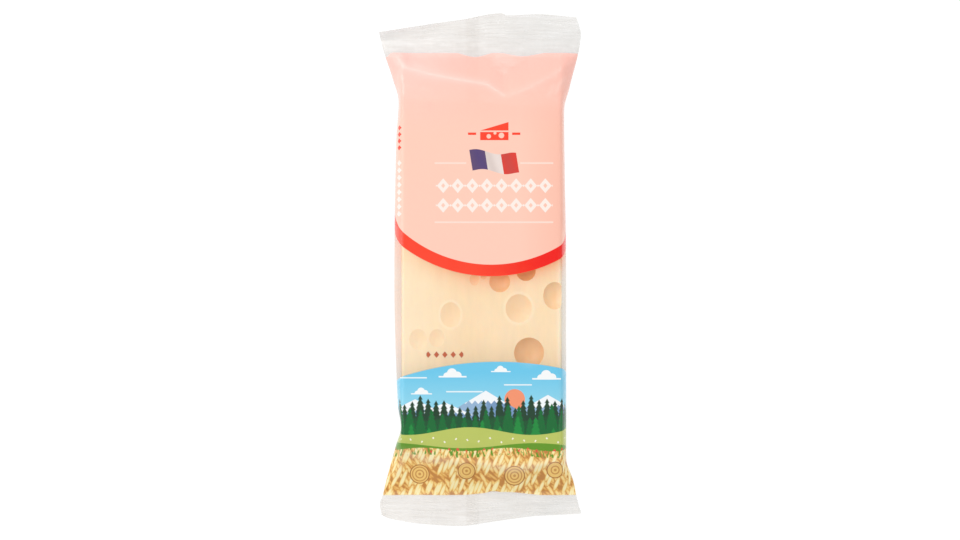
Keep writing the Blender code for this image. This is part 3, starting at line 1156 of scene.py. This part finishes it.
def cheese_material():
    """Pale waxy cheese, with painted shade deepening its eyes, painted light towards its left and along its
    right edge, and faint painted highlights round some eyes.
    """
    material, tree = blank_material("holed_cheese")
    place = tree.nodes.new("ShaderNodeTexCoord").outputs["Object"]

    def noise(scale):
        clouds = tree.nodes.new("ShaderNodeTexNoise")
        feed(clouds.inputs["Vector"], place)
        clouds.inputs["Scale"].default_value = scale
        clouds.inputs["Detail"].default_value = 3.0
        return clouds.outputs["Fac"]

    eye_shade = tree.nodes.new("ShaderNodeAttribute")
    eye_shade.attribute_name = "eye_shade"
    colour = blended(tree, light(241, 210, 165), light(248, 222, 185), noise(40.0))
    apart = tree.nodes.new("ShaderNodeSeparateXYZ")
    feed(apart.inputs[0], place)
    across = Reading(apart.outputs[0])
    # Painted light: the cheese turns paler towards its left.
    painted_left_light = (across + 0.010) / -0.030
    colour = blended(tree, colour, light(255, 236, 206), painted_left_light.clipped(0.5))
    # Painted light along the slab's right edge.
    right_edge_light = (across - (SLAB_RIGHT - LIT_EDGE_WIDTH)) / LIT_EDGE_WIDTH
    colour = blended(tree, colour, light(255, 244, 222), right_edge_light.clipped(0.6))
    for x, y, half_width, half_length, _, eye_shade_strength in WINDOW_EYES:
        if LIT_RIM_SHADES[0] < eye_shade_strength < LIT_RIM_SHADES[1]:
            seen = tree.nodes.new("ShaderNodeMapping")
            seen.vector_type = "TEXTURE"
            feed(seen.inputs["Vector"], place)
            seen.inputs["Location"].default_value = (x * MM, y * MM, CHEESE_TOP)
            seen.inputs["Scale"].default_value = (half_width * MM, half_length * MM, half_width * MM)
            reach = tree.nodes.new("ShaderNodeVectorMath")
            reach.operation = "LENGTH"
            feed(reach.inputs[0], seen.outputs[0])
            rim_light = Reading(reach.outputs["Value"]).swell(1.08, 0.20)
            # Painted highlight: a faint pale ring round the rim of the eye.
            colour = blended(tree, colour, light(255, 240, 214), rim_light * 0.22)
    # Painted shade in the eyes: their faces turn deeper and more orange.
    colour = blended(tree, colour, light(233, 156, 66), eye_shade.outputs["Fac"])
    bump = tree.nodes.new("ShaderNodeBump")
    bump.inputs["Strength"].default_value = 0.3
    bump.inputs["Distance"].default_value = 0.0003
    feed(bump.inputs["Height"], Reading(noise(120.0)) * 0.7 + Reading(noise(900.0)) * 0.3)
    surface = principled(
        tree,
        Base_Color=colour,
        Roughness=0.42,
        Subsurface_Weight=0.3,
        Subsurface_Radius=(1.0, 0.5, 0.25),
        Subsurface_Scale=0.0016,
        Normal=bump.outputs[0],
    )
    finish_material(tree, surface)
    return material


# The stage

FLOOR_DROP = 0.0002


def build_stage():
    bpy.ops.mesh.primitive_plane_add(size=6.0, location=(0, 0, -FLOOR_DROP))
    floor = bpy.context.object
    floor.name = "floor"
    material, tree = blank_material("pale_floor")
    surface = principled(
        tree,
        Base_Color=(0.2, 0.2, 0.2, 1),
        Roughness=0.9,
        Specular_IOR_Level=0.0,
        Emission_Color=(1, 1, 1, 1),
        Emission_Strength=0.88,
    )
    finish_material(tree, surface)
    floor.data.materials.append(material)


def aim(thing, target):
    thing.rotation_euler = (Vector(target) - thing.location).to_track_quat("-Z", "Y").to_euler()


def add_light(name, place, width, length, power):
    lamp = bpy.data.lights.new(name, "AREA")
    lamp.shape = "ELLIPSE"
    lamp.size = width
    lamp.size_y = length
    lamp.energy = power
    holder = bpy.data.objects.new(name, lamp)
    holder.location = place
    bpy.context.scene.collection.objects.link(holder)
    aim(holder, (0, 0, 0))


def build_lights():
    world = bpy.data.worlds.new("soft_surround")
    bpy.context.scene.world = world
    world.use_nodes = True
    surround = world.node_tree.nodes["Background"]
    surround.inputs["Color"].default_value = (1.0, 1.0, 1.0, 1.0)
    surround.inputs["Strength"].default_value = 0.61
    add_light("key", (-1.1, 1.0, 1.5), 1.0, 1.0, 15.0)
    add_light("fill", (1.4, -0.6, 1.3), 1.2, 1.2, 5.0)
    add_light("head", (0.35, 1.10, 1.45), 0.8, 0.8, 5.0)
    add_light("left_strip", (-1.15, 0.0, 0.85), 0.3, 1.2, 3.0)


def build_camera():
    camera = bpy.data.cameras.new("camera")
    camera.sensor_width = SENSOR * 1000
    camera.lens = SENSOR * 1000 * (CAMERA_HEIGHT - SCALE_HEIGHT) * PIXELS_PER_METRE / PIXELS_WIDE
    camera.clip_start = 0.05
    holder = bpy.data.objects.new("camera", camera)
    holder.location = (*FRAME_CENTRE, CAMERA_HEIGHT)
    bpy.context.scene.collection.objects.link(holder)
    bpy.context.scene.camera = holder
    bpy.context.scene.view_settings.view_transform = "Standard"


build_camera()
build_stage()
build_lights()

film = build_film()
seam = build_seam()
cheese = build_cheese()
printed_film = film_material()
holed_cheese = cheese_material()
for piece, material, slot in (
    (film, printed_film, "film"),
    (seam, printed_film, "film"),
    (cheese, holed_cheese, "cheese"),
):
    piece.data.materials.clear()
    piece.data.materials.append(material)
    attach(piece, "root")
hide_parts("cheese_pack")
